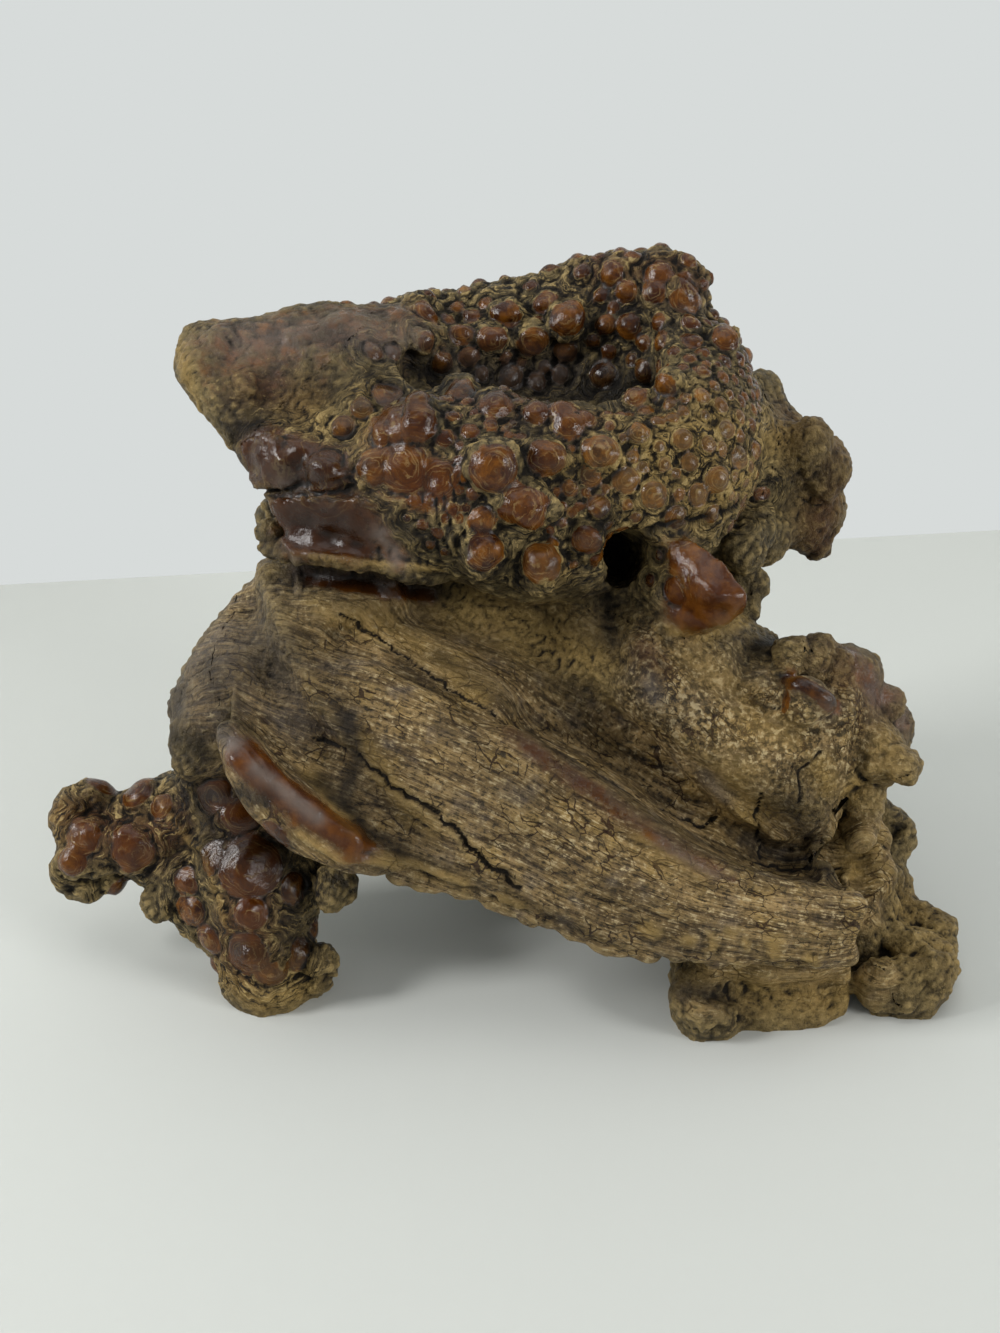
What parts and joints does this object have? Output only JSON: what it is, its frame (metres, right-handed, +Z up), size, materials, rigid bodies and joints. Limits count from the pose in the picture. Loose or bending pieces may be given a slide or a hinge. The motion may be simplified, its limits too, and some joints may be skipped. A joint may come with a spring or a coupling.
{
  "type": "burl wood root",
  "caption": "Weathered burl wood root on splayed feet, with a hollow, bead-covered crown above a broad fluted saddle, a side spur and a hooked arm.",
  "frame": {"origin": "middle of the bounding box's underside, in the plane the feet stand on", "axes": "+Z up, +X to the right and -Y towards the viewer of the pictured side; +X lies along the longest extent"},
  "size_m": [0.2431, 0.1513, 0.1757],
  "materials": {
    "burl_wood": "red-brown burl with polished beads",
    "root_wood": "weathered tan root wood, cracked and satin"
  },
  "bodies": {
    "root": {"burl_crown": "burl_wood", "left_spur": "root_wood", "right_spur": "root_wood", "saddle_trunk": "root_wood", "left_root": "burl_wood", "right_root": "root_wood", "back_left_root": "root_wood", "back_right_root": "root_wood"}
  },
  "joints": []
}
